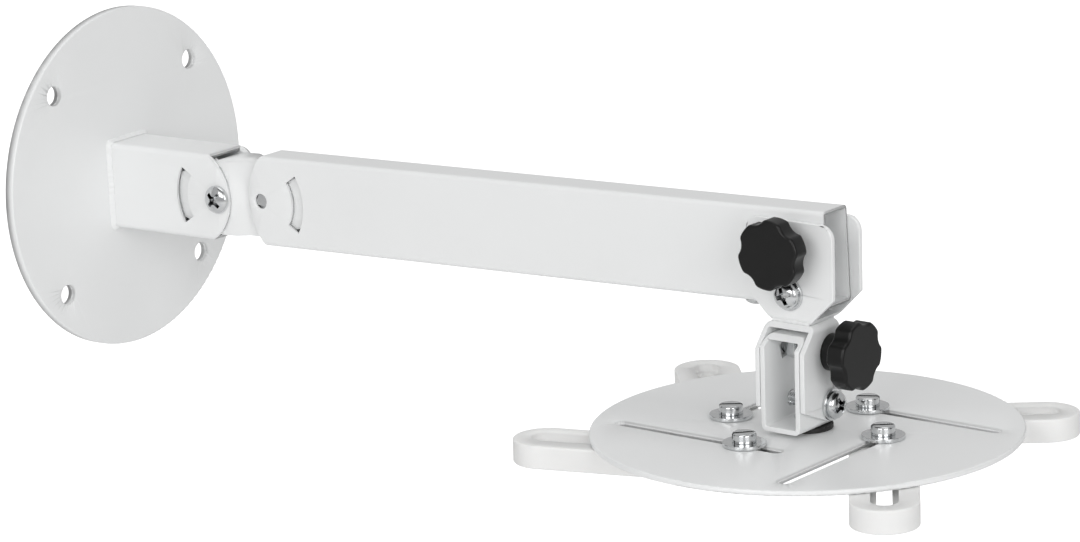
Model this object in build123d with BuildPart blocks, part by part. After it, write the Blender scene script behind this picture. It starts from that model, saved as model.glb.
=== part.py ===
from build123d import *
import os
from math import cos, radians, sin, sqrt

os.makedirs("parts", exist_ok=True)

# Driving dimensions in millimetres and degrees.
# The origin is the centre of the wall plate's back face: +X points out of the wall, +Z is up.

# Fasteners, all of thread M6
screw_r = 3.0
turning_fit = 0.05
tight_fit = 0.02
thread_out = 1.0
pan_r = 5.7
pan_h = 3.8
pan_round = 2.2
cross_length = 6.0
cross_width = 1.5
cross_depth = 2.0
swing_pan_r = 6.2
small_washer_r = 6.7
small_washer_t = 1.4
nut_flats = 10.0
nut_t = 5.0
nut_bevel = 0.5
hex_head_h = 4.0
button_r = 5.25
button_h = 3.2
button_round = 2.4
button_socket_flats = 4.0
button_socket_depth = 2.0

# Clearances between pieces that move past each other
sheet_gap = 0.3
face_gap = 0.1

# Wall plate
wall_plate_r = 76.0
wall_plate_t = 4.0
wall_hole_circle_r = 63.5
wall_hole_count = 4
wall_hole_r = 4.5
plate_edge_round = 0.8

# Arm tube, which also sizes the link inside it and the stub round the link
arm_length = 297.0
arm_h = 40.0
arm_w = 17.0
arm_wall = 1.6
arm_rise = 1.0
arm_tail = 6.7
arm_tail_chord = 1.0
tube_inner_corner = 0.5

# Link between stub and arm
link_top_clear = 1.9
link_sheet = 2.0
link_pin_r = 3.3
link_pin_recess = 0.8
link_lug_r = 26.5
link_lug_swing = 18.0
joggle_start_clear = 1.3
joggle_end_clear = 2.0
nose_gap = 9.0

# Stub on the wall plate
pivot1_x = 67.0
stub_drop = 2.0
stub_w = 24.5
stub_wall = 2.0
stub_top_clear = 0.75
stub_nose = 5.7
stub_nose_chord = -5.3
stub_bead = 3.0
stub_bead_tip = 0.15

# Arc slots and the clamp screws in them, at their radii about the pivots
swing_slot_r = 20.8
swing_slot_w = 6.3
swing_slot_half_angle = 32.0
tilt_clamp_r = 19.2
tilt_slot_half_angle = 28.0
roll_clamp_r = 22.1
roll_slot_near_angle = 18.7
roll_slot_far_angle = 13.2
clamp_slot_clear = 0.25

# Stop screw under the arm
stop_from_end = 40.0
stop_screw_length = 7.0

# Tilt yoke at the arm's end
tilt_from_end = 16.5
tilt_drop = 14.6
nose_down = 1.28
yoke_sheet = 2.2
cheek_half = 21.0
cheek_over_clamp = 11.2
cheek_corner = 6.0
web_clear = 4.8
web_half = 9.0
yoke_bend = 3.0

# Roll yoke under the tilt yoke and the base frame inside it
base_w = 19.0
base_h = 40.0
base_near = 19.1
base_far = 8.0
base_wall = 2.2
base_inner_corner = 0.8
base_top_clear = 2.0
base_cut_y = 6.3
base_cut_z = 4.5
roll_web_near = 10.4
roll_web_far = 6.5
roll_shoulder = 10.0
roll_pivot_rise = 9.6
roll_pivot_inside = 4.0
roll_lobe_r = 7.0
roll_edge_rise = 10.0
weld_leg = 1.6
weld_start = 0.6

# Star knobs
knob_r = 14.6
knob_t = 8.2
knob_lobes = 6
knob_scallop_r = 6.5
knob_valley_r = 13.0
knob_lobe_round = 2.5
knob_edge_round = 1.2
knob_collar_r = 7.7
knob_collar_t = 7.4
knob_roof = 3.0
knob_bore_spare = 0.6
tilt_knob_turn = -9.0
roll_knob_turn = 18.0

# Device plate with four slots set like a pinwheel
device_plate_r = 89.0
device_plate_t = 2.5
friction_washer_r = 10.8
friction_washer_t = 1.8
swivel_washer_r = 9.0
plate_slot_count = 4
plate_slot_offset = 35.0
plate_slot_w = 6.5
plate_slot_in = 12.0
plate_slot_edge = 18.0

# Legs and their screws
leg_span = 88.0
leg_w = 28.0
leg_t = 10.0
leg_slot_w = 6.3
leg_slot_beyond = 0.85
leg_recess_w = 11.2
leg_web = 3.0
leg_edge_round = 0.8
cheese_r = 5.0
cheese_h = 3.9
cheese_slot_w = 1.4
cheese_slot_depth = 1.8
leg_washer_r = 9.0
leg_washer_t = 1.6
square_nut_w = 10.0
square_nut_t = 3.2

# Each leg: place of its screw along the plate slot, heading, and the screw's place in its own slot
leg_back_screw = -4.0
leg_back_heading = 132.0
leg_back_inset = 2.5
leg_left_screw = -6.7
leg_left_heading = -163.0
leg_left_inset = 3.0
leg_front_screw = 3.1
leg_front_heading = -56.3
leg_front_inset = 10.4
leg_right_screw = 6.4
leg_right_heading = 36.2
leg_right_inset = 14.7


# Sizes that follow from the driving ones
link_r = arm_h / 2 - arm_wall - link_top_clear
link_half_w = arm_w / 2 - arm_wall - sheet_gap
stub_inner_half_w = stub_w / 2 - stub_wall
link_wide_half_w = stub_inner_half_w - sheet_gap
pivot_spacing = stub_nose + arm_tail + nose_gap
stub_h = 2 * (link_r + stub_top_clear + stub_wall)
cheek_inner = arm_w / 2 + sheet_gap
cheek_outer = cheek_inner + yoke_sheet
cheek_top = tilt_clamp_r + cheek_over_clamp
web_bottom = -(arm_h / 2 - tilt_drop + web_clear + yoke_sheet)
roll_inner = base_w / 2 + sheet_gap
roll_outer = roll_inner + yoke_sheet
roll_web_bottom = web_bottom - yoke_sheet
base_top = roll_web_bottom - base_top_clear
base_bottom = base_top - base_h
roll_pivot_z = base_bottom + roll_pivot_rise
roll_clamp_z = roll_pivot_z + roll_clamp_r
clamp_slot_w = 2 * (screw_r + clamp_slot_clear)
device_top = base_bottom - friction_washer_t - face_gap
device_bottom = device_top - device_plate_t
plate_slot_out = device_plate_r - plate_slot_edge
leg_top = device_bottom - face_gap


# Planes: each side plane looks along +Y, with its own x axis along the piece
def side_plane(pivot, rise):
    """Plane through a pivot whose x axis is raised by an angle from level."""
    along = (cos(radians(rise)), 0, sin(radians(rise)))
    return Plane(pivot, x_dir=along, z_dir=(0, -1, 0))


def across(side, x, up=0.0):
    """Plane square to a side plane's x axis, through a point given in that plane."""
    return Plane(side.from_local_coords((x, up, 0)), x_dir=(0, 1, 0), z_dir=side.x_dir)


def level(side, up, x=0.0):
    """Plane square to a side plane's y axis, through a point given in that plane."""
    return Plane(side.from_local_coords((x, up, 0)), x_dir=side.x_dir, z_dir=side.y_dir)


def facing_away(plane):
    """The same plane seen from behind, with its y axis kept."""
    return Plane(plane.origin, x_dir=-plane.x_dir, z_dir=-plane.z_dir)


stub_side = side_plane((pivot1_x, 0, -stub_drop), 0)
link_side = side_plane(stub_side.origin, arm_rise)
arm_side = side_plane(link_side.from_local_coords((pivot_spacing, 0, 0)), arm_rise)
arm_tilt_side = side_plane(arm_side.from_local_coords((arm_length - tilt_from_end, -tilt_drop, 0)), arm_rise)
head_side = side_plane(arm_tilt_side.origin, -nose_down)
head_cross = across(head_side, 0)
head_along = Axis(head_side.origin, head_side.x_dir)
head_up = Axis(head_side.origin, head_side.y_dir)


# Shapes that several pieces share
def tube_section(width, height, wall, inner_corner):
    """Section of a rectangular tube with rounded corners."""
    with BuildSketch() as section:
        RectangleRounded(width, height, wall + inner_corner)
        RectangleRounded(width - 2 * wall, height - 2 * wall, inner_corner, mode=Mode.SUBTRACT)
    return section.sketch


def arc_slot(radius, width, middle, half_angle):
    """Slot bent about the origin, with straight radial ends."""
    start = middle - half_angle
    with BuildSketch() as slot:
        with BuildLine():
            inner = CenterArc((0, 0), radius - width / 2, start, 2 * half_angle)
            outer = CenterArc((0, 0), radius + width / 2, start, 2 * half_angle)
            Line(inner @ 0, outer @ 0)
            Line(inner @ 1, outer @ 1)
        make_face()
    return slot.sketch


def nose_trim(half_height, chord, nose):
    """What is cut off a side wall so that it ends in an arc from corner to corner."""
    rise = nose - chord
    arc_r = (half_height**2 + rise**2) / (2 * rise)
    with BuildSketch() as trim:
        with Locations((chord, 0)):
            Rectangle(2 * rise, 3 * half_height, align=(Align.MIN, Align.CENTER))
        with Locations((nose - arc_r, 0)):
            Circle(arc_r, mode=Mode.SUBTRACT)
    return trim.sketch


def washer(seat, outer_r, thickness):
    """Flat washer lying on a seat plane."""
    with BuildPart() as ring:
        with BuildSketch(seat):
            Circle(outer_r)
            Circle(screw_r + tight_fit, mode=Mode.SUBTRACT)
        extrude(amount=thickness)
    return ring.part


def hex_nut(seat, thickness):
    """Hexagon nut lying on a seat plane, with its outer corners bevelled."""
    with BuildPart() as nut:
        with BuildSketch(seat):
            RegularPolygon(nut_flats / 2, 6, major_radius=False)
        extrude(amount=thickness)
        with BuildSketch(seat):
            Circle(nut_flats / 2 + nut_bevel)
        extrude(amount=thickness, mode=Mode.INTERSECT)
        with BuildSketch(seat):
            Circle(screw_r + tight_fit)
        extrude(amount=thickness, mode=Mode.SUBTRACT)
    return nut.part


def hex_head_bolt(seat, length):
    """Hexagon head bolt: its head stands on the seat plane and its shank goes behind it."""
    with BuildPart() as bolt:
        with BuildSketch(seat):
            RegularPolygon(nut_flats / 2, 6, major_radius=False)
        extrude(amount=hex_head_h)
        with BuildSketch(seat):
            Circle(nut_flats / 2 + nut_bevel)
        extrude(amount=hex_head_h, mode=Mode.INTERSECT)
        with BuildSketch(seat):
            Circle(screw_r)
        extrude(amount=-length)
    return bolt.part


def pan_head_screw(seat, length, head_r):
    """Pan head screw with a cross recess, standing on the seat plane."""
    with BuildPart() as screw:
        with BuildSketch(seat):
            Circle(head_r)
        extrude(amount=pan_h)
        crown = screw.faces().sort_by(Axis(seat.origin, seat.z_dir))[-1]
        fillet(crown.edges(), pan_round)
        with BuildSketch(seat.offset(pan_h)):
            Rectangle(cross_length, cross_width)
            Rectangle(cross_width, cross_length)
        extrude(amount=-cross_depth, mode=Mode.SUBTRACT)
        with BuildSketch(seat):
            Circle(screw_r)
        extrude(amount=-length)
    return screw.part


def button_head_screw(seat, length):
    """Button head screw with a hexagon socket, standing on the seat plane."""
    with BuildPart() as screw:
        with BuildSketch(seat):
            Circle(button_r)
        extrude(amount=button_h)
        crown = screw.faces().sort_by(Axis(seat.origin, seat.z_dir))[-1]
        fillet(crown.edges(), button_round)
        with BuildSketch(seat.offset(button_h)):
            RegularPolygon(button_socket_flats / 2, 6, major_radius=False)
        extrude(amount=-button_socket_depth, mode=Mode.SUBTRACT)
        with BuildSketch(seat):
            Circle(screw_r)
        extrude(amount=-length)
    return screw.part


def star_knob(seat, turn):
    """Star knob whose collar starts at the seat plane, with a blind bore for its screw."""
    with BuildPart() as knob:
        with BuildSketch(seat.offset(knob_collar_t)) as star:
            Circle(knob_r)
            with PolarLocations(knob_valley_r + knob_scallop_r, knob_lobes, start_angle=turn):
                Circle(knob_scallop_r, mode=Mode.SUBTRACT)
            fillet(star.vertices(), knob_lobe_round)
        extrude(amount=knob_t)
        ends = knob.faces().sort_by(Axis(seat.origin, seat.z_dir))
        fillet(ends[0].edges() + ends[-1].edges(), knob_edge_round)
        with BuildSketch(seat):
            Circle(knob_collar_r)
        extrude(amount=knob_collar_t + knob_edge_round)
        with BuildSketch(seat):
            Circle(screw_r + turning_fit)
        extrude(amount=knob_collar_t + knob_t - knob_roof, mode=Mode.SUBTRACT)
    return knob.part


def save(part, name):
    """Label a finished piece and write it under its name."""
    part.label = name
    export_step(part, "parts/" + name + ".step")


# Wall plate: a flat disc with four holes for the wall screws
with BuildPart() as wall_plate:
    with BuildSketch(Plane.YZ):
        Circle(wall_plate_r)
        with PolarLocations(wall_hole_circle_r, wall_hole_count, start_angle=180 / wall_hole_count):
            Circle(wall_hole_r, mode=Mode.SUBTRACT)
    extrude(amount=wall_plate_t)
    front_face = wall_plate.faces().sort_by(Axis.X)[-1]
    fillet(front_face.outer_wire().edges(), plate_edge_round)
save(wall_plate.part, "wall_plate")

# Stub: rectangular tube welded to the plate, its side walls running on as round noses
stub_foot = across(stub_side, wall_plate_t - pivot1_x)
with BuildPart() as stub_tube:
    with BuildSketch(stub_foot):
        add(tube_section(stub_w, stub_h, stub_wall, tube_inner_corner))
    extrude(amount=pivot1_x - wall_plate_t + stub_nose)
    with BuildSketch(stub_side):
        add(nose_trim(stub_h / 2, stub_nose_chord, stub_nose))
        Circle(screw_r + tight_fit)
        add(arc_slot(swing_slot_r, swing_slot_w, 180, swing_slot_half_angle))
    extrude(amount=stub_w, both=True, mode=Mode.SUBTRACT)
    with BuildSketch(stub_side):
        with Locations((stub_nose_chord, 0)):
            Rectangle(2 * stub_nose + pivot_spacing, 2 * stub_h, align=(Align.MIN, Align.CENTER))
    extrude(amount=stub_inner_half_w, both=True, mode=Mode.SUBTRACT)
save(stub_tube.part, "stub_tube")

# Weld bead round the foot of the stub
with BuildPart() as stub_weld:
    with BuildSketch(stub_foot):
        RectangleRounded(
            stub_w + 2 * stub_bead, stub_h + 2 * stub_bead, stub_wall + tube_inner_corner + stub_bead
        )
    extrude(amount=stub_bead - stub_bead_tip, taper=45)
    with BuildSketch(stub_foot):
        RectangleRounded(stub_w, stub_h, stub_wall + tube_inner_corner)
    extrude(amount=stub_bead, mode=Mode.SUBTRACT)
save(stub_weld.part, "stub_weld")

# First swing pivot: screw from the near side, washer and nut on the far side
swing_seat = stub_side.offset(stub_w / 2)
swing_far_seat = facing_away(stub_side).offset(stub_w / 2)
save(
    pan_head_screw(swing_seat, stub_w + small_washer_t + nut_t + thread_out, swing_pan_r),
    "swing_screw",
)
save(washer(swing_far_seat, small_washer_r, small_washer_t), "swing_washer")
save(hex_nut(swing_far_seat.offset(small_washer_t), nut_t), "swing_nut")

# Link: a channel whose sides are joggled, wide inside the stub and narrow inside the arm
def link_cheek():
    """Side of the link: round about both pivots, with a lug behind the arc slot at each end."""
    with BuildSketch() as lug:
        Circle(link_lug_r)
        for swing in (link_lug_swing, -link_lug_swing):
            Rectangle(4 * link_lug_r, 2 * link_r, rotation=swing, mode=Mode.INTERSECT)
        with Locations((-link_r * sin(radians(link_lug_swing)), 0)):
            Rectangle(
                2 * link_lug_r,
                4 * link_r,
                align=(Align.MAX, Align.CENTER),
                mode=Mode.INTERSECT,
            )
    with BuildSketch() as cheek:
        with Locations((pivot_spacing / 2, 0)):
            SlotCenterToCenter(pivot_spacing, 2 * link_r)
        add(lug.sketch)
        mirror(lug.sketch, about=Plane.YZ.offset(pivot_spacing / 2))
    return cheek.sketch


def link_plan(inset):
    """Plan of the link's outer faces, or of its inner faces when inset by the sheet."""
    wide = link_wide_half_w - inset
    narrow = link_half_w - inset
    joggle_start = stub_nose + joggle_start_clear
    joggle_end = pivot_spacing - arm_tail - joggle_end_clear
    with BuildSketch() as plan:
        with BuildLine():
            Polyline(
                (-2 * link_lug_r, wide),
                (joggle_start, wide),
                (joggle_end, narrow),
                (3 * link_lug_r, narrow),
                (3 * link_lug_r, -narrow),
                (joggle_end, -narrow),
                (joggle_start, -wide),
                (-2 * link_lug_r, -wide),
                close=True,
            )
        make_face()
    return plan.sketch


with BuildPart() as link:
    with BuildSketch(link_side):
        add(link_cheek())
        Circle(screw_r + turning_fit, mode=Mode.SUBTRACT)
        with Locations((pivot_spacing, 0)):
            Circle(link_pin_r + tight_fit, mode=Mode.SUBTRACT)
    extrude(amount=link_wide_half_w, both=True)
    with BuildSketch(level(link_side, -link_r)):
        add(link_plan(0))
    extrude(amount=2 * link_r, mode=Mode.INTERSECT)
    with BuildSketch(level(link_side, -link_r)):
        add(link_plan(link_sheet))
    extrude(amount=2 * link_r - link_sheet, mode=Mode.SUBTRACT)
save(link.part, "link")

# Second swing pivot: a plain pin held by the link, its ends a little below the arm's walls
with BuildPart() as link_pin:
    with BuildSketch(arm_side):
        Circle(link_pin_r)
    extrude(amount=arm_w / 2 - link_pin_recess, both=True)
save(link_pin.part, "link_pin")

# Arm: rectangular tube with round tails at the link and arc slots at both ends
stop_x = arm_length - stop_from_end
with BuildPart() as arm_tube:
    with BuildSketch(across(arm_side, -arm_tail)):
        add(tube_section(arm_w, arm_h, arm_wall, tube_inner_corner))
    extrude(amount=arm_length + arm_tail)
    with BuildSketch(facing_away(arm_side)):
        add(nose_trim(arm_h / 2, -arm_tail_chord, arm_tail))
        Circle(link_pin_r + turning_fit)
        add(arc_slot(swing_slot_r, swing_slot_w, 180, swing_slot_half_angle))
    extrude(amount=arm_w, both=True, mode=Mode.SUBTRACT)
    with BuildSketch(arm_side):
        with Locations((arm_tail_chord, 0)):
            Rectangle(2 * arm_tail + arm_tail_chord, 2 * arm_h, align=(Align.MAX, Align.CENTER))
    extrude(amount=arm_w / 2 - arm_wall, both=True, mode=Mode.SUBTRACT)
    with BuildSketch(arm_tilt_side):
        Circle(screw_r + turning_fit)
        add(arc_slot(tilt_clamp_r, clamp_slot_w, 90, tilt_slot_half_angle))
    extrude(amount=arm_w, both=True, mode=Mode.SUBTRACT)
    with BuildSketch(level(arm_side, -arm_h / 2, stop_x)):
        Circle(screw_r + tight_fit)
    extrude(amount=arm_wall, mode=Mode.SUBTRACT)
save(arm_tube.part, "arm_tube")

# Stop screw: a button head screw tapped into the arm's bottom wall from below
stop_level = level(arm_side, -arm_h / 2, stop_x)
stop_seat = Plane(stop_level.origin, x_dir=stop_level.x_dir, z_dir=-stop_level.z_dir)
save(button_head_screw(stop_seat, stop_screw_length), "stop_screw")

# Tilt yoke: folded sheet with a cheek on each side of the arm and a web under it
cheek_slope_z = web_bottom + cheek_half - web_half
with BuildPart() as upper_yoke:
    with BuildSketch(head_side) as cheek:
        with BuildLine():
            Polyline(
                (-cheek_half, cheek_top),
                (cheek_half, cheek_top),
                (cheek_half, cheek_slope_z),
                (web_half, web_bottom),
                (-web_half, web_bottom),
                (-cheek_half, cheek_slope_z),
                close=True,
            )
        make_face()
        fillet(cheek.vertices().group_by(Axis.Y)[-1], cheek_corner)
    extrude(amount=cheek_outer, both=True)
    with BuildSketch(head_side):
        with Locations((0, web_bottom + yoke_sheet)):
            Rectangle(3 * cheek_half, 2 * cheek_top, align=(Align.CENTER, Align.MIN))
    extrude(amount=cheek_inner, both=True, mode=Mode.SUBTRACT)
    along_edges = upper_yoke.edges().filter_by(head_along)
    fillet(along_edges.group_by(head_up)[0], yoke_bend)
    with BuildSketch(head_side):
        Circle(screw_r + tight_fit)
        with Locations((0, tilt_clamp_r)):
            Circle(screw_r + tight_fit)
    extrude(amount=2 * cheek_outer, both=True, mode=Mode.SUBTRACT)
save(upper_yoke.part, "upper_yoke")

# Roll yoke: folded sheet under the tilt yoke, its flanges ending in lobes round the roll pivot
with BuildPart() as roll_yoke:
    with BuildSketch(head_cross):
        with BuildLine():
            Polyline(
                (base_far, roll_pivot_z),
                (base_far, web_bottom - roll_shoulder),
                (roll_web_far, web_bottom),
                (-roll_web_near, web_bottom),
                (-base_near, web_bottom - roll_shoulder),
                (-base_near, base_bottom + roll_edge_rise),
            )
            CenterArc((0, roll_pivot_z), roll_lobe_r, 0, 360)
        make_hull()
    extrude(amount=roll_outer, both=True)
    with BuildSketch(head_side):
        with Locations((0, roll_web_bottom)):
            Rectangle(2 * roll_inner, 2 * base_h, align=(Align.CENTER, Align.MAX))
    extrude(amount=base_near + base_far, both=True, mode=Mode.SUBTRACT)
    web_edges = roll_yoke.edges().filter_by(Axis.Y)
    fillet(web_edges.group_by(head_up)[-1], yoke_bend)
    with BuildSketch(head_cross):
        with Locations((0, roll_pivot_z)):
            Circle(screw_r + turning_fit)
        with Locations((0, roll_clamp_z)):
            Circle(screw_r + tight_fit)
    extrude(amount=2 * roll_outer, both=True, mode=Mode.SUBTRACT)
save(roll_yoke.part, "roll_yoke")

# Weld beads where the two yokes meet web to web: one under the far edge, one in the near bend
slope_length = sqrt((base_far - roll_web_far) ** 2 + roll_shoulder**2)
bead_foot_y = roll_web_far + weld_leg * (base_far - roll_web_far) / slope_length
bead_foot_z = web_bottom - weld_leg * roll_shoulder / slope_length
near_bead_start = -(cheek_outer - yoke_bend + weld_start)
with BuildPart() as yoke_weld:
    with BuildSketch(head_cross):
        with BuildLine():
            Polyline(
                (roll_web_far, web_bottom),
                (roll_web_far + weld_leg, web_bottom),
                (bead_foot_y, bead_foot_z),
                close=True,
            )
        make_face()
        with BuildLine():
            Polyline(
                (near_bead_start, web_bottom),
                (-roll_web_near, web_bottom),
                (-cheek_outer, web_bottom + weld_leg),
                (near_bead_start, web_bottom + weld_leg),
                close=True,
            )
        make_face()
    extrude(amount=web_half, both=True)
    add(upper_yoke.part, mode=Mode.SUBTRACT)
save(yoke_weld.part, "yoke_weld")

# Tilt pivot: screw, a washer on each cheek and a nut on the far side
tilt_seat = head_side.offset(cheek_outer)
tilt_far_seat = facing_away(head_side).offset(cheek_outer)
with BuildPart() as tilt_washers:
    add(washer(tilt_seat, small_washer_r, small_washer_t))
    mirror(about=Plane.XZ)
save(tilt_washers.part, "tilt_washers")
save(
    pan_head_screw(
        tilt_seat.offset(small_washer_t),
        2 * (cheek_outer + small_washer_t) + nut_t + thread_out,
        pan_r,
    ),
    "tilt_screw",
)
save(hex_nut(tilt_far_seat.offset(small_washer_t), nut_t), "tilt_nut")

# Tilt clamp: hexagon bolt from the far side, drawn tight by a star knob on the near side
knob_thread = knob_collar_t + knob_t - knob_roof - knob_bore_spare
clamp_far_seat = Plane(
    head_side.from_local_coords((0, tilt_clamp_r, -cheek_outer)),
    x_dir=-head_side.x_dir,
    z_dir=-head_side.z_dir,
)
clamp_near_seat = Plane(
    head_side.from_local_coords((0, tilt_clamp_r, cheek_outer + face_gap)),
    x_dir=head_side.x_dir,
    z_dir=head_side.z_dir,
)
save(hex_head_bolt(clamp_far_seat, 2 * cheek_outer + face_gap + knob_thread), "tilt_clamp_bolt")
save(star_knob(clamp_near_seat, tilt_knob_turn), "tilt_knob")

# Roll clamp: the same pair across the base frame, with a nut on the bolt inside the frame
roll_near_seat = across(head_side, roll_outer + face_gap, roll_clamp_z)
roll_far_seat = facing_away(across(head_side, -roll_outer, roll_clamp_z))
roll_nut_seat = across(head_side, face_gap - base_w / 2 + base_wall, roll_clamp_z)
save(hex_head_bolt(roll_far_seat, 2 * roll_outer + face_gap + knob_thread), "roll_clamp_bolt")
save(hex_nut(roll_nut_seat, nut_t), "roll_clamp_nut")
save(star_knob(roll_near_seat, roll_knob_turn), "roll_knob")

# Base frame: a length of rectangular tube that rolls between the flanges of the roll yoke
roll_slot_middle = 90 + (roll_slot_near_angle - roll_slot_far_angle) / 2
roll_slot_half_angle = (roll_slot_near_angle + roll_slot_far_angle) / 2
with BuildPart() as base_frame:
    with BuildSketch(head_side.offset(base_near)):
        with Locations((0, base_top - base_h / 2)):
            add(tube_section(base_w, base_h, base_wall, base_inner_corner))
    extrude(amount=-(base_near + base_far))
    with BuildSketch(head_cross):
        for end, back in ((base_far, base_far - base_cut_y), (-base_near, base_cut_y - base_near)):
            with BuildLine():
                Polyline((end, base_top), (end, base_top - base_cut_z), (back, base_top), close=True)
            make_face()
        with Locations((0, roll_pivot_z)):
            Circle(screw_r + tight_fit)
            add(arc_slot(roll_clamp_r, clamp_slot_w, roll_slot_middle, roll_slot_half_angle))
    extrude(amount=base_w, both=True, mode=Mode.SUBTRACT)
    with BuildSketch(level(head_side, base_bottom)):
        Circle(screw_r + tight_fit)
    extrude(amount=base_wall, mode=Mode.SUBTRACT)
save(base_frame.part, "base_frame")

# Roll pivot: a pan head screw with a washer on each side, tapped into the base frame's wall
roll_right_seat = across(head_side, roll_outer + face_gap, roll_pivot_z)
pivot_screw_length = (
    small_washer_t + face_gap + yoke_sheet + sheet_gap + base_wall + roll_pivot_inside
)
with BuildPart() as roll_pivot_screws:
    add(pan_head_screw(roll_right_seat.offset(small_washer_t), pivot_screw_length, pan_r))
    mirror(about=head_cross)
save(roll_pivot_screws.part, "roll_pivot_screws")
with BuildPart() as roll_pivot_washers:
    add(washer(roll_right_seat, small_washer_r, small_washer_t))
    mirror(about=head_cross)
save(roll_pivot_washers.part, "roll_pivot_washers")

# Swivel: button head screw inside the frame, friction washer, device plate, washer and nut
swivel_seat = level(head_side, base_bottom + base_wall)
swivel_stack = base_wall + friction_washer_t + device_plate_t + 2 * face_gap + small_washer_t
save(button_head_screw(swivel_seat, swivel_stack + nut_t + thread_out), "swivel_screw")
save(
    washer(level(head_side, base_bottom - friction_washer_t), friction_washer_r, friction_washer_t),
    "friction_washer",
)
swivel_washer_level = level(head_side, device_bottom - face_gap - small_washer_t)
save(washer(swivel_washer_level, swivel_washer_r, small_washer_t), "swivel_washer")
swivel_nut_level = level(head_side, device_bottom - face_gap - small_washer_t - nut_t)
save(hex_nut(swivel_nut_level, nut_t), "swivel_nut")

# Device plate: a disc whose four slots turn about its centre like a pinwheel
slot_middle = (plate_slot_in - plate_slot_out) / 2
slot_overall = plate_slot_in + plate_slot_out
with BuildPart() as device_plate:
    with BuildSketch(level(head_side, device_bottom)):
        Circle(device_plate_r)
        Circle(screw_r + turning_fit, mode=Mode.SUBTRACT)
        with PolarLocations(0, plate_slot_count):
            with Locations((slot_middle, -plate_slot_offset)):
                SlotOverall(slot_overall, plate_slot_w, mode=Mode.SUBTRACT)
    extrude(amount=device_plate_t)
    rims = device_plate.faces().sort_by(head_up)
    fillet(rims[-1].outer_wire().edges() + rims[0].outer_wire().edges(), plate_edge_round)
save(device_plate.part, "device_plate")

# Legs: each hangs under the plate on a slotted screw and a square nut, and turns about them
leg_slot_span = leg_span + 2 * leg_slot_beyond
leg_recess_depth = (leg_t - leg_web) / 2
leg_nut_top = leg_top - leg_recess_depth - leg_web - face_gap
leg_washer_bottom = device_top + face_gap
leg_screw_seat_up = leg_washer_bottom + leg_washer_t
leg_screw_length = leg_screw_seat_up - leg_nut_top + square_nut_t + thread_out


def turned_level(up, place, heading):
    """Level plane at a height of the head, through a place on it, with its x axis on a heading."""
    base = level(head_side, up)
    ahead = base.from_local_coords((cos(radians(heading)), sin(radians(heading)), 0)) - base.origin
    return Plane(base.from_local_coords((place[0], place[1], 0)), x_dir=ahead, z_dir=base.z_dir)


def cheese_head_screw(seat, length):
    """Slotted cheese head screw standing on the seat plane."""
    with BuildPart() as screw:
        with BuildSketch(seat):
            Circle(cheese_r)
        extrude(amount=cheese_h)
        with BuildSketch(seat.offset(cheese_h)):
            Rectangle(3 * cheese_r, cheese_slot_w)
        extrude(amount=-cheese_slot_depth, mode=Mode.SUBTRACT)
        with BuildSketch(seat):
            Circle(screw_r)
        extrude(amount=-length)
    return screw.part


def square_nut(seat):
    """Thin square nut that lies in a leg's lower recess, hanging below the seat plane."""
    with BuildPart() as nut:
        with BuildSketch(seat):
            Rectangle(square_nut_w, square_nut_w)
            Circle(screw_r + turning_fit, mode=Mode.SUBTRACT)
        extrude(amount=-square_nut_t)
    return nut.part


def slotted_leg(seat, inset):
    """Moulded leg below the seat plane: a long slot with a wider recess above and below it."""
    middle = (leg_span / 2 - inset, 0)
    with BuildPart() as leg:
        with BuildSketch(seat):
            with Locations(middle):
                SlotCenterToCenter(leg_span, leg_w)
        extrude(amount=-leg_t)
        faces = leg.faces().sort_by(Axis(seat.origin, seat.z_dir))
        fillet(faces[0].edges() + faces[-1].edges(), leg_edge_round)
        with BuildSketch(seat):
            with Locations(middle):
                SlotCenterToCenter(leg_slot_span, leg_slot_w)
        extrude(amount=-leg_t, mode=Mode.SUBTRACT)
        with BuildSketch(seat, seat.offset(leg_recess_depth - leg_t)):
            with Locations(middle):
                SlotCenterToCenter(leg_slot_span, leg_recess_w)
        extrude(amount=-leg_recess_depth, mode=Mode.SUBTRACT)
    return leg.part


def leg_set(side_name, place, heading, inset):
    """One leg with its screw, washer and nut, its screw standing at a place on the plate."""
    save(washer(turned_level(leg_washer_bottom, place, heading), leg_washer_r, leg_washer_t),
         "leg_washer_" + side_name)
    save(cheese_head_screw(turned_level(leg_screw_seat_up, place, heading), leg_screw_length),
         "leg_screw_" + side_name)
    save(square_nut(turned_level(leg_nut_top, place, heading)), "leg_nut_" + side_name)
    save(slotted_leg(turned_level(leg_top, place, heading), inset), "leg_" + side_name)


leg_set("back", (-plate_slot_offset, leg_back_screw), leg_back_heading, leg_back_inset)
leg_set("left", (leg_left_screw, -plate_slot_offset), leg_left_heading, leg_left_inset)
leg_set("front", (plate_slot_offset, leg_front_screw), leg_front_heading, leg_front_inset)
leg_set("right", (leg_right_screw, plate_slot_offset), leg_right_heading, leg_right_inset)
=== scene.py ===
import math

import bmesh
import bpy
from mathutils import Matrix, Vector, noise


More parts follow.
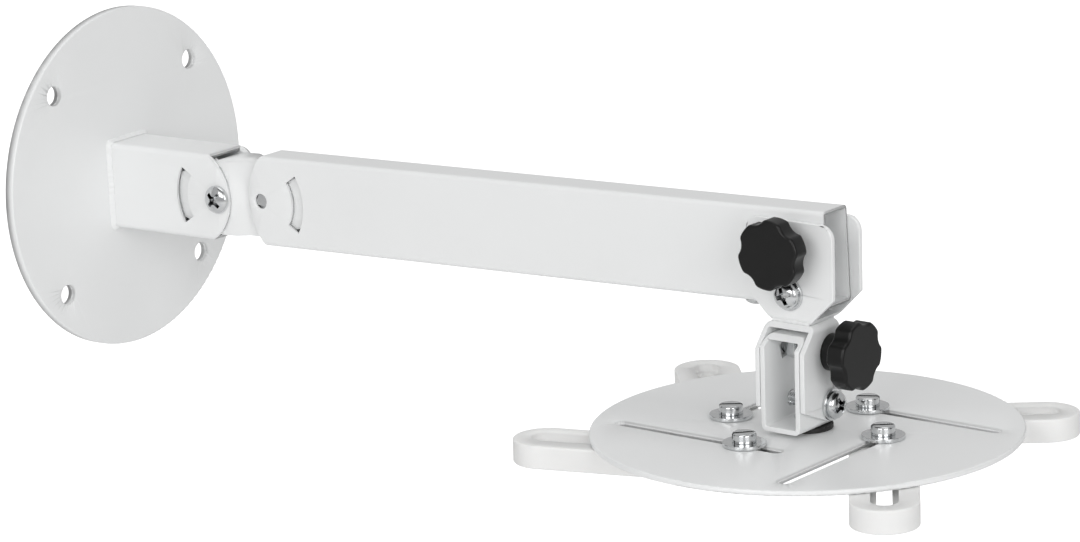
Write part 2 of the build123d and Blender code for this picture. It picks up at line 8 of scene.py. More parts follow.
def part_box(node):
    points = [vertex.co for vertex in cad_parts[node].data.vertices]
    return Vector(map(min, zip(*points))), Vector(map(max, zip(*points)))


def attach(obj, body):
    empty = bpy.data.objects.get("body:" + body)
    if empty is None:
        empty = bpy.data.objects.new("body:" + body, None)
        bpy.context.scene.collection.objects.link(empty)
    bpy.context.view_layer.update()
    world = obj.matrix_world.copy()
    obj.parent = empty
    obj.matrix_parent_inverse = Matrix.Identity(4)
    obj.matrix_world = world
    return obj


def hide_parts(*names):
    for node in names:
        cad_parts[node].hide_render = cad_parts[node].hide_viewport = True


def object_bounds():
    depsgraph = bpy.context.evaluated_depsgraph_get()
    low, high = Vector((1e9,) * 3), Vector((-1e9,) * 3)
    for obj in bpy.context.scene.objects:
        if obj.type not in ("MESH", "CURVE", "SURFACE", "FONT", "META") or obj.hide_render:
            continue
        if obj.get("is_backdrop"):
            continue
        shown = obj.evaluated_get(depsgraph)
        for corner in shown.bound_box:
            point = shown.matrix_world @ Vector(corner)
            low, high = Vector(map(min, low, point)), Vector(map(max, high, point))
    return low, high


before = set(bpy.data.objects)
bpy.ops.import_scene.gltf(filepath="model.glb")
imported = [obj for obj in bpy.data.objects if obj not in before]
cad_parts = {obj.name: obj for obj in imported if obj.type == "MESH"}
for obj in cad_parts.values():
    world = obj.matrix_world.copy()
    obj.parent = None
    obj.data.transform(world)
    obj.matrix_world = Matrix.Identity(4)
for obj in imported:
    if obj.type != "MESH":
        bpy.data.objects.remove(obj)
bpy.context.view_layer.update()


# Wall plate: a pressed steel disc that four screws hold against the wall.
# It is powder coated in gloss white, as all sheets and tubes of the mount are,
# which leaves a fine orange peel on flat faces and rounds the cut edges a little.
mm = 0.001


def linear(code):
    """Linear colour of an sRGB hex code."""
    parts = [int(code[at : at + 2], 16) / 255 for at in (1, 3, 5)]
    return [c / 12.92 if c <= 0.04045 else ((c + 0.055) / 1.055) ** 2.4 for c in parts] + [1.0]


def add(tree, kind, settings, links=()):
    """Adds a node with its settings, and links sockets of other nodes to its inputs."""
    made = tree.nodes.new("ShaderNode" + kind)
    for key, value in settings.items():
        if isinstance(key, str) and hasattr(made, key):
            setattr(made, key, value)
        else:
            made.inputs[key].default_value = value
    for key, source in dict(links).items():
        tree.links.new(source, made.inputs[key])
    return made


def new_material(name, roughness, metallic=0.0):
    """A material with its shader's even values set, and the object coordinates that it reads."""
    material = bpy.data.materials.new(name)
    material.use_nodes = True
    shader = material.node_tree.nodes["Principled BSDF"]
    shader.inputs["Roughness"].default_value = roughness
    shader.inputs["Metallic"].default_value = metallic
    place = add(material.node_tree, "TexCoord", {}).outputs["Object"]
    return material, material.node_tree, shader, place


def mottled(tree, shader, place, size, dark, light):
    """Colour that drifts between two close shades over patches of a size."""
    patch = add(tree, "TexNoise", {"Scale": 1 / size, "Detail": 3.0}, {"Vector": place})
    shade = add(tree, "ValToRGB", {}, {"Fac": patch.outputs["Fac"]})
    shade.color_ramp.elements[0].position = 0.3
    shade.color_ramp.elements[0].color = linear(dark)
    shade.color_ramp.elements[1].position = 0.7
    shade.color_ramp.elements[1].color = linear(light)
    tree.links.new(shade.outputs["Color"], shader.inputs["Base Color"])
    return patch


def uneven_gloss(tree, shader, patch, low, high):
    """Roughness that follows a patchy pattern."""
    spread = add(
        tree,
        "MapRange",
        {"From Min": 0.3, "From Max": 0.7, "To Min": low, "To Max": high},
        {"Value": patch.outputs["Fac"]},
    )
    tree.links.new(spread.outputs["Result"], shader.inputs["Roughness"])


def grained(tree, shader, place, size, height, strength):
    """Fine relief of a grain size and height."""
    grain = add(tree, "TexNoise", {"Scale": 1 / size, "Detail": 2.0}, {"Vector": place})
    bump = add(
        tree, "Bump", {"Strength": strength, "Distance": height}, {"Height": grain.outputs["Fac"]}
    )
    tree.links.new(bump.outputs["Normal"], shader.inputs["Normal"])


def powder_coat():
    """Polyester powder coat on steel: a soft gloss over an orange peel about 1.5 mm across."""
    material, tree, shader, place = new_material("powder_coated_steel_gloss_white", 0.3)
    patch = mottled(tree, shader, place, 60 * mm, "#eeefef", "#f0f1f1")
    uneven_gloss(tree, shader, patch, 0.29, 0.31)
    grained(tree, shader, place, 1.5 * mm, 0.02 * mm, 0.2)
    return material


coat = powder_coat()
edge_round = 0.35 * mm
edge_angle = math.radians(32)
seam_gap = 0.002 * mm
face_weight = 80


def carry(name, material, width=edge_round):
    """Gives a CAD node its material, and small rounds on its cut edges unless their width is 0."""
    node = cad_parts[name]
    node.data.materials.clear()
    node.data.materials.append(material)
    weld = node.modifiers.new("weld", "WELD")
    weld.merge_threshold = seam_gap
    if width:
        bevel = node.modifiers.new("bevel", "BEVEL")
        bevel.width = width
        bevel.segments = 2
        bevel.limit_method = "ANGLE"
        bevel.angle_limit = edge_angle
        bevel.use_clamp_overlap = False
    normals = node.modifiers.new("normals", "WEIGHTED_NORMAL")
    normals.weight = face_weight


carry("wall_plate", coat, 0)


# Stub: a short rectangular tube welded square to the wall plate.
# Its side walls run on as two round noses with an arc slot each, and it has the same coat.
carry("stub_tube", coat, 0)


# Weld bead: a hand-laid bead that joins the stub to the plate all the way round.
# Its overlapping ripples show through the coat.
smoothings = 3
swell_mean = 0.4


def rippled(name, voxel, ripple, height, run_of, drawn_in=None):
    """A copy of a CAD weld, remeshed, drawn in and raised in ripples along its run."""
    source = bpy.data.objects.new(name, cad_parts[name].data.copy())
    bpy.context.scene.collection.objects.link(source)
    merge = source.modifiers.new("merge", "WELD")
    merge.merge_threshold = seam_gap
    remesh = source.modifiers.new("remesh", "REMESH")
    remesh.mode = "VOXEL"
    remesh.voxel_size = voxel
    seen = source.evaluated_get(bpy.context.evaluated_depsgraph_get())
    shape = bmesh.new()
    shape.from_mesh(seen.to_mesh())
    bpy.data.objects.remove(source)
    for _ in range(smoothings):
        bmesh.ops.smooth_vert(
            shape,
            verts=shape.verts,
            factor=0.5,
            use_axis_x=True,
            use_axis_y=True,
            use_axis_z=True,
        )
    if drawn_in:
        for vert in shape.verts:
            vert.co = drawn_in(vert.co)
    shape.normal_update()
    wander = 0.5 * ripple
    wander_patch = 3 * ripple
    moves = []
    for vert in shape.verts:
        run = run_of(vert.co) + wander * noise.noise(vert.co / wander_patch)
        swell = abs(math.sin(math.pi * run / ripple)) - swell_mean
        moves.append(vert.normal * height * swell)
    for vert, move in zip(shape.verts, moves):
        vert.co += move
    return shape


crease_angle = math.radians(35)


def piece(name, shape, body, slot, material, *stands_for):
    """Makes a finished shape a piece of the mount that rides on a body."""
    bmesh.ops.recalc_face_normals(shape, faces=shape.faces)
    mesh = bpy.data.meshes.new(name)
    shape.to_mesh(mesh)
    shape.free()
    mesh.materials.append(material)
    mesh.polygons.foreach_set("use_smooth", [True] * len(mesh.polygons))
    mesh.set_sharp_from_angle(angle=crease_angle)
    made = bpy.data.objects.new(name, mesh)
    bpy.context.scene.collection.objects.link(made)
    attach(made, body)
    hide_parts(*stands_for)
    return made


stub_low, stub_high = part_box("stub_tube")
stub_mid = (stub_low + stub_high) / 2
stub_foot_r = 19 * mm
throat = 0.6


def round_stub(point):
    """Run of the bead round the stub's foot, which goes with the angle."""
    return stub_foot_r * math.atan2(point.z - stub_mid.z, point.y)


def low_bead(point):
    """Point of the bead with its throat brought down to a little over half."""
    half = (stub_high - stub_low) / 2
    for axis in (1, 2):
        over = abs(point[axis] - stub_mid[axis]) - half[axis]
        if over > 0:
            side = math.copysign(1, point[axis] - stub_mid[axis])
            point[axis] = stub_mid[axis] + side * (half[axis] + throat * over)
    point.x = stub_low.x + throat * (point.x - stub_low.x)
    return point


bead = rippled(
    "stub_weld",
    voxel=0.4 * mm,
    ripple=3.4 * mm,
    height=0.2 * mm,
    run_of=round_stub,
    drawn_in=low_bead,
)
piece("stub_weld_bead", bead, "wall_bracket", "white", coat, "stub_weld")


# First swing pivot: a pan head screw with a cross recess, a washer and a nut.
# All are steel with bright zinc plate, which is smooth and mirrors the room in small patches.
def bright_zinc():
    """Bright zinc plate on steel: a mirror, uneven from the bath, with painted shade darkening its
    deep recesses.
    """
    material, tree, shader, place = new_material("bright_zinc_plated_steel", 0.16, 1.0)
    patch = mottled(tree, shader, place, 2 * mm, "#cfd1d3", "#dcdddd")
    plate = shader.inputs["Base Color"].links[0].from_socket
    # Painted shade: an ambient occlusion mask multiplies the plate colour down to near black in
    # recesses and crevices.
    recess = {"only_local": True, "samples": 8, "Distance": 2.2 * mm}
    occlusion_shade = add(tree, "AmbientOcclusion", recess)
    depth = add(tree, "ValToRGB", {}, {"Fac": occlusion_shade.outputs["AO"]})
    depth.color_ramp.elements[0].position = 0.3
    depth.color_ramp.elements[0].color = linear("#2e2e30")
    depth.color_ramp.elements[1].position = 0.62
    depth.color_ramp.elements[1].color = linear("#ffffff")
    # The Mix node's colour sockets: two at its inputs and one at its outputs.
    colour_a, colour_b, colour_out = 6, 7, 2
    painted_shade_mix = add(tree, "Mix", {"data_type": "RGBA", "blend_type": "MULTIPLY", "Factor": 1.0})
    tree.links.new(plate, painted_shade_mix.inputs[colour_a])
    tree.links.new(depth.outputs["Color"], painted_shade_mix.inputs[colour_b])
    tree.links.new(painted_shade_mix.outputs[colour_out], shader.inputs["Base Color"])
    uneven_gloss(tree, shader, patch, 0.1, 0.2)
    grained(tree, shader, place, 0.6 * mm, 0.01 * mm, 0.3)
    return material


zinc = bright_zinc()

# Sizes of an M6 screw with a pan head and of its nut, in millimetres.
shank_r = 3.0
pan_height = 3.8
long_plain = 22
nut_flats = 10
nut_thickness = 5
screw_edge = 0.12 * mm
nut_edge = 0.15 * mm
washer_edge = 0.25 * mm


pole_gap = 0.0005 * mm


def turned(profile, steps=64):
    """Shape turned about its own z axis from points (radius, height) in millimetres."""
    shape = bmesh.new()
    verts = [shape.verts.new((radius * mm, 0, height * mm)) for radius, height in profile]
    edges = [shape.edges.new(pair) for pair in zip(verts, verts[1:])]
    bmesh.ops.spin(
        shape,
        geom=verts + edges,
        cent=(0, 0, 0),
        axis=(0, 0, 1),
        angle=2 * math.pi,
        steps=steps,
        use_merge=True,
    )
    bmesh.ops.remove_doubles(shape, verts=shape.verts, dist=pole_gap)
    bmesh.ops.recalc_face_normals(shape, faces=shape.faces)
    return shape


def cut(shape, cutter, operation="DIFFERENCE"):
    """Cuts one shape with another, and uses both up."""
    made = []
    for part in (shape, cutter):
        mesh = bpy.data.meshes.new("cut")
        part.to_mesh(mesh)
        part.free()
        made.append(bpy.data.objects.new("cut", mesh))
        bpy.context.scene.collection.objects.link(made[-1])
    boolean = made[0].modifiers.new("cut", "BOOLEAN")
    boolean.object = made[1]
    boolean.operation = operation
    boolean.solver = "EXACT"
    seen = made[0].evaluated_get(bpy.context.evaluated_depsgraph_get())
    result = bmesh.new()
    result.from_mesh(seen.to_mesh())
    for each in made:
        bpy.data.objects.remove(each)
    return result


def tapered_block(length, width, depth, taper, top, turn):
    """Block with its top at a height, its foot narrower by the taper, turned about its axis."""
    shape = bmesh.new()
    bmesh.ops.create_cube(shape, size=1)
    for vert in shape.verts:
        narrow = taper if vert.co.z < 0 else 1.0
        vert.co.x *= length * narrow * mm
        vert.co.y *= width * narrow * mm
        vert.co.z = (top + (vert.co.z - 0.5) * depth) * mm
    bmesh.ops.rotate(
        shape, verts=shape.verts, cent=(0, 0, 0), matrix=Matrix.Rotation(turn, 3, "Z")
    )
    return shape


def joined(*shapes):
    """One mesh of several closed shapes."""
    result = bmesh.new()
    for shape in shapes:
        mesh = bpy.data.meshes.new("part")
        shape.to_mesh(mesh)
        shape.free()
        result.from_mesh(mesh)
        bpy.data.meshes.remove(mesh)
    return result


pitch = 1.0
thread_depth = 0.55
thread_steps = 24


def screw_thread(start, length):
    """Threaded shank from a height downwards, with a true helix and a flat end."""
    shape = bmesh.new()
    count = int(length / pitch) + 3
    top = (start + pitch) * mm
    verts = []
    for at in range(count * 2 + 1):
        radius = shank_r * mm - (thread_depth * mm if at % 2 else 0)
        verts.append(shape.verts.new((radius, 0, top - at * pitch / 2 * mm)))
    edges = [shape.edges.new(pair) for pair in zip(verts, verts[1:])]
    bmesh.ops.spin(
        shape,
        geom=verts + edges,
        cent=(0, 0, 0),
        axis=(0, 0, 1),
        dvec=(0, 0, -pitch * mm / thread_steps),
        angle=2 * math.pi,
        steps=thread_steps,
    )
    bmesh.ops.remove_doubles(shape, verts=shape.verts, dist=seam_gap)
    for height, side in ((start, 1), (start - length, -1)):
        bmesh.ops.bisect_plane(
            shape,
            geom=shape.verts[:] + shape.edges[:] + shape.faces[:],
            plane_co=(0, 0, height * mm),
            plane_no=(0, 0, side),
            clear_outer=True,
        )
        rim = [edge for edge in shape.edges if edge.is_boundary]
        rim = [edge for edge in rim if abs(edge.verts[0].co.z - height * mm) < 0.001 * mm]
        bmesh.ops.holes_fill(shape, edges=rim)
    bmesh.ops.recalc_face_normals(shape, faces=shape.faces)
    return shape


def shank(top, plain, length):
    """Plain shank from the seat down, then thread, as one mesh of closed shapes."""
    barrel = turned([(0, top), (shank_r, top), (shank_r, -plain), (0, -plain)], 32)
    return joined(barrel, screw_thread(-plain, length - plain))


def pan_head(radius, height, turn):
    """Pan head with a cross recess, standing on the seat at height 0."""
    side = 0.3 * height
    crown_power = 0.9
    crown = [
        (radius * math.cos(a), side + (height - side) * math.sin(a) ** crown_power)
        for a in [math.radians(step) for step in range(0, 91, 9)]
    ]
    head = turned([(0, 0), (radius - 0.25, 0), (radius, 0.2)] + crown[:-1] + [(0, height)])
    above = height + 0.3
    slot_width, slot_depth, slot_taper = 1.95, 3.0, 0.7
    for quarter in (0, 1):
        slot_turn = turn + quarter * math.pi / 2
        wing = tapered_block(1.4 * radius, slot_width, slot_depth, slot_taper, above, slot_turn)
        head = cut(head, wing)
    well_r, well_foot_r = 1.9, 1.4
    profile = [(0, above), (well_r, above), (well_foot_r, height - 2.7), (0, height - 3.3)]
    return cut(head, turned(profile, 24))


def stand(shape, point, up, along):
    """Moves a shape so that its z axis points up and its x axis along, on a point."""
    z = Vector(up).normalized()
    x = Vector(along).normalized()
    turn = Matrix((x, z.cross(x), z)).transposed().to_4x4()
    bmesh.ops.transform(shape, matrix=Matrix.Translation(point) @ turn, verts=shape.verts)
    return shape


soften_angle = math.radians(40)


def soften(made, width):
    """Small rounds on the sharp edges of a made piece."""
    bevel = made.modifiers.new("bevel", "BEVEL")
    bevel.width = width
    bevel.segments = 2
    bevel.limit_method = "ANGLE"
    bevel.angle_limit = soften_angle


nut_bore_r = 3.02
corner_slope = math.radians(30)


def hex_nut(flats, thickness, bore_r=nut_bore_r):
    """Hexagon nut with turned corners, its foot at height 0."""
    shape = bmesh.new()
    corner = flats / math.sqrt(3) * mm
    bmesh.ops.create_cone(
        shape, cap_ends=True, segments=6, radius1=corner, radius2=corner, depth=thickness * mm
    )
    bmesh.ops.translate(shape, verts=shape.verts, vec=(0, 0, thickness / 2 * mm))
    rim = flats / 2 * 0.97
    wide = flats / math.sqrt(3) + 0.05
    rise = (wide - rim) * math.tan(corner_slope)
    lathe = turned(
        [(0, 0), (rim, 0), (wide, rise), (wide, thickness - rise), (rim, thickness), (0, thickness)]
    )
    shape = cut(shape, lathe, "INTERSECT")
    beyond = thickness + 1
    hole = turned([(0, -1), (bore_r, -1), (bore_r, beyond), (0, beyond)], 48)
    return cut(shape, hole)


swing_low, swing_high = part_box("swing_screw")
swing_axis = (swing_low + swing_high) / 2
near_seat = Vector((swing_axis.x, stub_low.y, swing_axis.z))
swing_length = (swing_high.y - near_seat.y) / mm
swing_head_r = 6.2
swing_turn = math.radians(45)
swing = joined(
    pan_head(swing_head_r, pan_height, swing_turn), shank(0, long_plain, swing_length)
)
stand(swing, near_seat, (0, -1, 0), (1, 0, 0))
soften(piece("swing_pan_screw", swing, "wall_bracket", "zinc", zinc, "swing_screw"), screw_edge)
nut_seat = Vector((swing_axis.x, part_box("swing_nut")[0].y, swing_axis.z))
nut = stand(hex_nut(nut_flats, nut_thickness), nut_seat, (0, 1, 0), (1, 0, 0))
soften(piece("swing_hex_nut", nut, "wall_bracket", "zinc", zinc, "swing_nut"), nut_edge)
carry("swing_washer", zinc, washer_edge)


# Link: a joggled channel of coated sheet, which joins the stub to the arm.
# A plain zinc pin, almost flush in the arm's sides, is its second pivot.
carry("link", coat, 0)
pin_edge = 0.4 * mm
carry("link_pin", zinc, pin_edge)


# Arm: a long rectangular tube with rounded corners and an open outer end.
# Its walls carry arc slots at both ends, and its coat is the same gloss white.
carry("arm_tube", coat, 0)


# Stop screw: a zinc button head screw with a hexagon socket, tapped into the arm from below.
# Only its low dome shows under the arm.
button_r = 5.25
button_height = 3.2
socket_r = 2.31


def button_head(radius, height):
    """Low domed head with a hexagon socket, standing on the seat at height 0."""
    side = 0.15 * height
    crown = [
        (radius * math.cos(a), side + (height - side) * math.sin(a))
        for a in [math.radians(step) for step in range(0, 81, 10)]
    ]
    head = turned([(0, 0), (radius - 0.2, 0)] + crown + [(0, height)])
    socket = bmesh.new()
    bmesh.ops.create_cone(
        socket,
        cap_ends=True,
        segments=6,
        radius1=socket_r * mm,
        radius2=socket_r * mm,
        depth=4 * mm,
    )
    bmesh.ops.translate(socket, verts=socket.verts, vec=(0, 0, height * mm))
    return cut(head, socket)


arm_rise = math.radians(1.0)
arm_along = Vector((math.cos(arm_rise), 0, math.sin(arm_rise)))
arm_down = Vector((math.sin(arm_rise), 0, -math.cos(arm_rise)))
stop_low, stop_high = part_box("stop_screw")
stop_mid = (stop_low + stop_high) / 2
stop_seat = Vector((stop_mid.x, 0, stop_low.z)) - arm_down * button_height * mm
stop_thread = 7
stop = joined(button_head(button_r, button_height), screw_thread(0, stop_thread))
stand(stop, stop_seat, arm_down, arm_along)
soften(piece("stop_button_screw", stop, "arm", "zinc", zinc, "stop_screw"), screw_edge)


# Tilt yoke and roll yoke: two folded sheets welded web to web, white as the rest.
# The upper one holds the arm's end between its cheeks, the lower one holds the base frame.
carry("upper_yoke", coat)
carry("roll_yoke", coat)
yoke_bead = rippled(
    "yoke_weld",
    voxel=0.3 * mm,
    ripple=3.0 * mm,
    height=0.18 * mm,
    run_of=lambda point: point.x,
)
piece("yoke_weld_beads", yoke_bead, "yoke", "white", coat, "yoke_weld")


# Tilt pivot: a zinc pan head screw with a washer on each cheek and a nut behind.
# The whole head is square to it, and hangs a little nose down as it does in the photo.
nose_down = math.radians(1.28)
head_x = Vector((math.cos(nose_down), 0, -math.sin(nose_down)))
head_y = Vector((0, 1, 0))
head_z = Vector((math.sin(nose_down), 0, math.cos(nose_down)))
tilt_low, tilt_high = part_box("tilt_nut")
tilt_pivot = Vector(((tilt_low.x + tilt_high.x) / 2, 0, (tilt_low.z + tilt_high.z) / 2))


def head_point(x, y, z):
    """Point of the head, from the tilt pivot, in millimetres."""
    return tilt_pivot + (head_x * x + head_y * y + head_z * z) * mm


tilt_seat_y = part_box("tilt_washers")[0].y / mm
tilt_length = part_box("tilt_screw")[1].y / mm - tilt_seat_y
pan_r = 5.7
tilt_turn = math.radians(22)
tilt = joined(pan_head(pan_r, pan_height, tilt_turn), shank(0, long_plain, tilt_length))
stand(tilt, head_point(0, tilt_seat_y, 0), (0, -1, 0), head_x)
soften(piece("tilt_pan_screw", tilt, "yoke", "zinc", zinc, "tilt_screw"), screw_edge)
nut = stand(hex_nut(nut_flats, nut_thickness), head_point(0, -tilt_seat_y, 0), (0, 1, 0), head_x)
soften(piece("tilt_hex_nut", nut, "yoke", "zinc", zinc, "tilt_nut"), nut_edge)
carry("tilt_washers", zinc, washer_edge)


# Clamps: a hexagon bolt through each arc slot, drawn tight by a star knob.
# The knobs are black glass-filled nylon with a satin moulded face, turned on the bolts' threads.
def knob_nylon():
    """Black glass-filled nylon: satin, with a fine moulded grain about 0.4 mm across."""
    material, tree, shader, place = new_material("glass_filled_nylon_black", 0.32)
    patch = mottled(tree, shader, place, 6 * mm, "#070707", "#0b0b0b")
    uneven_gloss(tree, shader, patch, 0.3, 0.36)
    shader.inputs["Specular IOR Level"].default_value = 0.36
    grained(tree, shader, place, 0.4 * mm, 0.02 * mm, 0.35)
    return material


nylon_black = knob_nylon()


bolt_flats = 10
bolt_head_height = 4
bolt_plain = 8
no_bore = 0.001
knob_edge = 0.2 * mm


def hex_bolt(length):
    """Hexagon head bolt with a shank of a length, its head standing on the seat at height 0."""
    head = hex_nut(bolt_flats, bolt_head_height, no_bore)
    return joined(head, shank(0, bolt_plain, length))


def head_height(name):
    """Height of a node's middle above the tilt pivot along the head, in millimetres."""
    low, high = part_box(name)
    return ((low + high) / 2 - tilt_pivot).dot(head_z) / mm


tilt_clamp_z = head_height("tilt_clamp_bolt")
roll_clamp_z = head_height("roll_clamp_bolt")
tilt_bolt_seat = 11.0
roll_bolt_seat = -12.0
for axis_name, body, seat, up, along in (
    ("tilt", "yoke", head_point(0, tilt_bolt_seat, tilt_clamp_z), head_y, -head_x),
    ("roll", "yoke", head_point(roll_bolt_seat, 0, roll_clamp_z), -head_x, -head_y),
):
    low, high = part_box(axis_name + "_clamp_bolt")
    reach = (high - low).y if axis_name == "tilt" else (high - low).x
    bolt = hex_bolt(reach / mm - bolt_head_height)
    stand(bolt, seat, up, along)
    name = axis_name + "_clamp_hex_bolt"
    soften(piece(name, bolt, body, "zinc", zinc, axis_name + "_clamp_bolt"), nut_edge)
    carry(axis_name + "_knob", nylon_black, knob_edge)


# Base frame: a short length of rectangular tube that rolls inside the lower yoke.
# It is open to the front and back, so the clamp's nut shows inside it.
carry("base_frame", coat)
nut_low, nut_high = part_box("roll_clamp_nut")
inside = ((nut_low + nut_high) / 2 - tilt_pivot).dot(head_x) / mm
nut_seat = head_point(inside - nut_thickness / 2, 0, roll_clamp_z)
nut = stand(hex_nut(nut_flats, nut_thickness), nut_seat, head_x, head_y)
soften(piece("roll_clamp_hex_nut", nut, "yoke", "zinc", zinc, "roll_clamp_nut"), nut_edge)


# Roll pivot: a pan head screw with a washer on each side, tapped into the base frame's wall.
# The screws' threaded ends show inside the frame.
pivot_z = head_height("roll_pivot_screws")
pivot_seat = 13.5
pivot_length = 10.2
pivot_plain = 3.5
right_turn = math.radians(30)
left_turn = math.radians(52)
right = joined(pan_head(pan_r, pan_height, right_turn), shank(0, pivot_plain, pivot_length))
stand(right, head_point(pivot_seat, 0, pivot_z), head_x, head_y)
left = joined(pan_head(pan_r, pan_height, left_turn), shank(0, pivot_plain, pivot_length))
stand(left, head_point(-pivot_seat, 0, pivot_z), -head_x, head_y)
pivots = joined(right, left)
soften(piece("roll_pan_screws", pivots, "base", "zinc", zinc, "roll_pivot_screws"), screw_edge)
carry("roll_pivot_washers", zinc, washer_edge)


# Swivel: a button head screw inside the frame, a black friction disc, a washer and a nut.
# The screw clamps the device plate under the frame, and the fibre disc between them holds it.
def friction_fibre():
    """Black hard fibre: matt, slightly blotched from pressing."""
    material, tree, shader, place = new_material("hard_fibre_black", 0.6)
    patch = mottled(tree, shader, place, 3 * mm, "#191919", "#222120")
    uneven_gloss(tree, shader, patch, 0.5, 0.65)
    grained(tree, shader, place, 0.5 * mm, 0.04 * mm, 0.4)
    return material


carry("friction_washer", friction_fibre(), washer_edge)
carry("swivel_washer", zinc, washer_edge)
frame_floor = -54.4
swivel_plain = 4.0
swivel_seat = head_point(0, 0, frame_floor)
swivel_length = (swivel_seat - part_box("swivel_screw")[0]).z / mm
swivel = joined(button_head(button_r, button_height), shank(0, swivel_plain, swivel_length))
stand(swivel, swivel_seat, head_z, head_x)
soften(piece("swivel_button_screw", swivel, "base", "zinc", zinc, "swivel_screw"), screw_edge)
washer_top = -61.1
washer_thickness = 1.4
nut_top = washer_top - washer_thickness
nut = stand(hex_nut(nut_flats, nut_thickness), head_point(0, 0, nut_top), -head_z, head_x)
soften(piece("swivel_hex_nut", nut, "base", "zinc", zinc, "swivel_nut"), nut_edge)


# Device plate: a punched steel disc with four slots set like a pinwheel and a coated edge.
# It carries the legs' screws in its slots, and turns under the frame on the swivel.
carry("device_plate", coat, 0)


# Legs: white moulded plastic bars with a long slot and a wider recess above and below it.
# Each hangs on a slotted cheese head screw, with a wide washer and a square nut.
def moulded_white():
    """White moulded nylon: a soft gloss, slight flow marks, and light goes a little into it."""
    material, tree, shader, place = new_material("moulded_nylon_white", 0.34)
    patch = mottled(tree, shader, place, 18 * mm, "#ececeb", "#f1f1f0")
    uneven_gloss(tree, shader, patch, 0.28, 0.38)
    grained(tree, shader, place, 0.9 * mm, 0.02 * mm, 0.25)
    shader.inputs["Subsurface Weight"].default_value = 0.12
    shader.inputs["Subsurface Radius"].default_value = (1.0, 0.95, 0.9)
    shader.inputs["Subsurface Scale"].default_value = 2 * mm
    return material


nylon_white = moulded_white()


cheese_r = 5.0
cheese_height = 3.9
rim_round = 0.9
leg_screw_plain = 1.0


def cheese_head(radius, height):
    """Slotted cheese head with a rounded rim, standing on the seat at height 0."""
    slot_width, slot_depth, above = 1.7, 4.4, 1.9
    rim = [
        (
            radius - rim_round + rim_round * math.cos(a),
            height - rim_round + rim_round * math.sin(a),
        )
        for a in [math.radians(step) for step in range(0, 91, 15)]
    ]
    head = turned([(0, 0), (radius - 0.2, 0), (radius, 0.2)] + rim + [(0, height)])
    slot = tapered_block(3 * radius, slot_width, slot_depth, 1.0, height + above, 0.0)
    return cut(head, slot)


# Each screw has its place along head_x and head_y in millimetres, and its slot's turn in degrees.
leg_seat = -56.8
for side_name, place, slot_turn in (
    ("back", (-35.0, -4.0), 35.0),
    ("left", (-6.7, -35.0), 46.0),
    ("front", (35.0, 3.1), 40.0),
    ("right", (6.4, 35.0), 28.0),
):
    angle = math.radians(slot_turn)
    along = head_x * math.cos(angle) + head_y * math.sin(angle)
    node = "leg_screw_" + side_name
    seat = head_point(place[0], place[1], leg_seat)
    length = (seat.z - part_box(node)[0].z) / mm
    screw = joined(cheese_head(cheese_r, cheese_height), shank(0, leg_screw_plain, length))
    stand(screw, seat, head_z, along)
    name = "cheese_screw_" + side_name
    soften(piece(name, screw, node, "zinc", zinc, node), screw_edge)
    carry("leg_washer_" + side_name, zinc, washer_edge)
    carry("leg_nut_" + side_name, zinc, washer_edge)
    carry("leg_" + side_name, nylon_white, 0)


# Studio: camera, floor and lights. None of it belongs to the mount.
# The floor and the world are white to the camera alone. What lights the mount and shows in its
# metal is a grey room at room_level, with black cards.
def towards(azimuth, elevation):
    """Unit vector of a view direction, in degrees."""
    a = math.radians(azimuth)
    e = math.radians(elevation)
    return Vector((math.sin(a) * math.cos(e), math.cos(a) * math.cos(e), math.sin(e)))


camera = bpy.data.objects.new("camera", bpy.data.cameras.new("camera"))
bpy.context.scene.collection.objects.link(camera)
bpy.context.scene.camera = camera
eye_place = (1.48961, -1.6158, 0.478)
eye_azimuth, eye_elevation, eye_roll = -37.85, -13.65, -2.81
ahead = towards(eye_azimuth, eye_elevation)
level_right = ahead.cross(Vector((0, 0, 1))).normalized()
level_up = level_right.cross(ahead)
roll = math.radians(eye_roll)
right = level_right * math.cos(roll) + level_up * math.sin(roll)
up = level_up * math.cos(roll) - level_right * math.sin(roll)
camera.matrix_world = Matrix.Translation(eye_place) @ (
    Matrix((right, up, -ahead)).transposed().to_4x4()
)
image_width = 1080
focal_pixels = 5000
camera.data.sensor_width = 36
camera.data.lens = focal_pixels / image_width * camera.data.sensor_width

floor_half = 12
floor_middle = (0.25, 0, -0.6)
floor_shape = bmesh.new()
bmesh.ops.create_grid(floor_shape, x_segments=1, y_segments=1, size=floor_half)
bmesh.ops.translate(floor_shape, verts=floor_shape.verts, vec=floor_middle)
floor_mesh = bpy.data.meshes.new("floor")
floor_shape.to_mesh(floor_mesh)
floor = bpy.data.objects.new("floor", floor_mesh)
bpy.context.scene.collection.objects.link(floor)
floor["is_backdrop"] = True


def seen_by_eye(tree):
    """1 for camera rays, 0 for the light that falls on things and for what they reflect."""
    return add(tree, "LightPath", {}).outputs["Is Camera Ray"]


floor_glow = 0.8
floor_paper = bpy.data.materials.new("seamless_paper_white")
floor_paper.use_nodes = True
tree = floor_paper.node_tree
tree.nodes.clear()
matt = add(tree, "BsdfDiffuse", {"Color": linear("#f4f4f4")})
lift = add(tree, "Math", {"operation": "MULTIPLY", 1: floor_glow}, {0: seen_by_eye(tree)})
glow = add(tree, "Emission", {}, {"Strength": lift.outputs[0]})
both = add(tree, "AddShader", {}, {0: matt.outputs[0], 1: glow.outputs[0]})
add(tree, "OutputMaterial", {}, {"Surface": both.outputs[0]})
floor_mesh.materials.append(floor_paper)

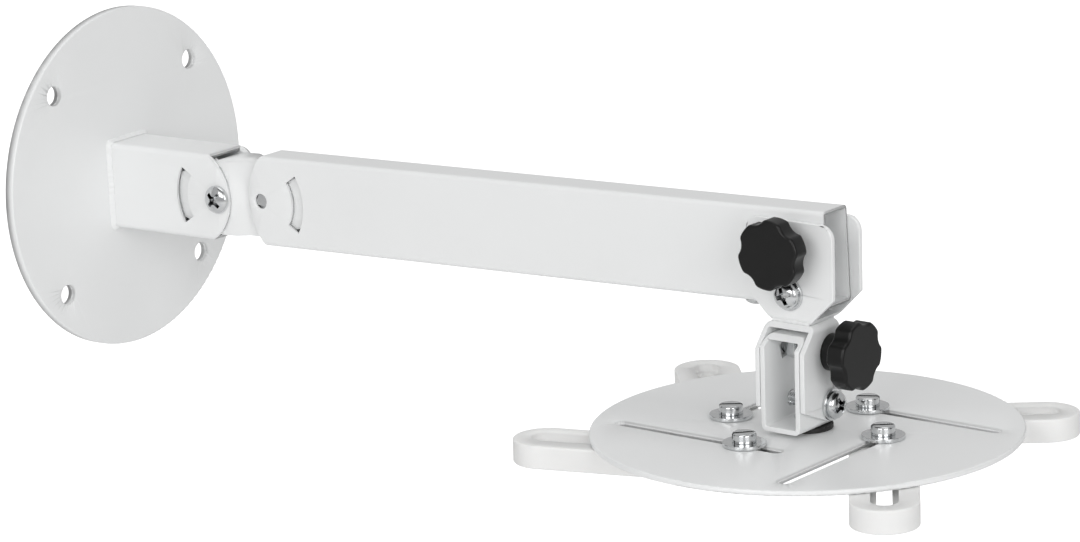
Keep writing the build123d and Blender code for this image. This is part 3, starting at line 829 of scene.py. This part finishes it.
world = bpy.data.worlds.new("studio")
bpy.context.scene.world = world
world.use_nodes = True
tree = world.node_tree
tree.nodes.clear()
room_level = 0.62
eye = seen_by_eye(tree)
level = add(tree, "MapRange", {"To Min": room_level, "To Max": 1.0}, {"Value": eye})
sky = add(tree, "Background", {}, {"Strength": level.outputs["Result"]})
add(tree, "OutputWorld", {}, {"Surface": sky.outputs[0]})


def lamp(name, place, aim, width, height, level):
    """Soft box that adds a share of full white to a face turned square to it."""
    data = bpy.data.lights.new(name, "AREA")
    data.shape = "RECTANGLE"
    data.size = width
    data.size_y = height
    reach = Vector(aim) - Vector(place)
    data.energy = level * math.pi**2 * reach.length_squared
    made = bpy.data.objects.new(name, data)
    made.location = place
    made.rotation_mode = "QUATERNION"
    made.rotation_quaternion = reach.to_track_quat("-Z", "Y")
    bpy.context.scene.collection.objects.link(made)


middle = (0.25, 0, 0)
lamp("key", (0.6, -2.4, 0.9), middle, 1.6, 1.2, 0.27)
lamp("fill", (2.2, -1.0, 0.6), middle, 1.2, 1.2, 0.24)
lamp("top", (0.3, 0.3, 2.2), middle, 1.6, 1.6, 0.2)


def flag(name, place, aim, width, height):
    """Black card that only shows in reflections, so that bright metal has contrast."""
    shape = bmesh.new()
    bmesh.ops.create_grid(shape, x_segments=1, y_segments=1, size=0.5)
    turn = (Vector(aim) - Vector(place)).to_track_quat("Z", "Y").to_matrix().to_4x4()
    size = Matrix.Diagonal((width, height, 1, 1))
    bmesh.ops.transform(shape, matrix=Matrix.Translation(place) @ turn @ size, verts=shape.verts)
    mesh = bpy.data.meshes.new(name)
    shape.to_mesh(mesh)
    mesh.materials.append(card)
    made = bpy.data.objects.new(name, mesh)
    bpy.context.scene.collection.objects.link(made)
    made.visible_camera = False
    made.visible_diffuse = False
    made.visible_shadow = False
    made.visible_transmission = False
    made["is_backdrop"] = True


card = bpy.data.materials.new("black_card")
card.use_nodes = True
card_shader = card.node_tree.nodes["Principled BSDF"]
card_shader.inputs["Base Color"].default_value = linear("#101010")
card_shader.inputs["Roughness"].default_value = 0.9
flag("flag_left", (-1.6, -0.5, 0.2), middle, 0.9, 1.6)
flag("flag_right", (1.9, 0.6, 0.3), middle, 0.5, 2.0)
flag("flag_top", (0.4, -0.6, 1.6), middle, 1.6, 0.5)

bpy.context.scene.view_settings.view_transform = "Standard"

low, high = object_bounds()
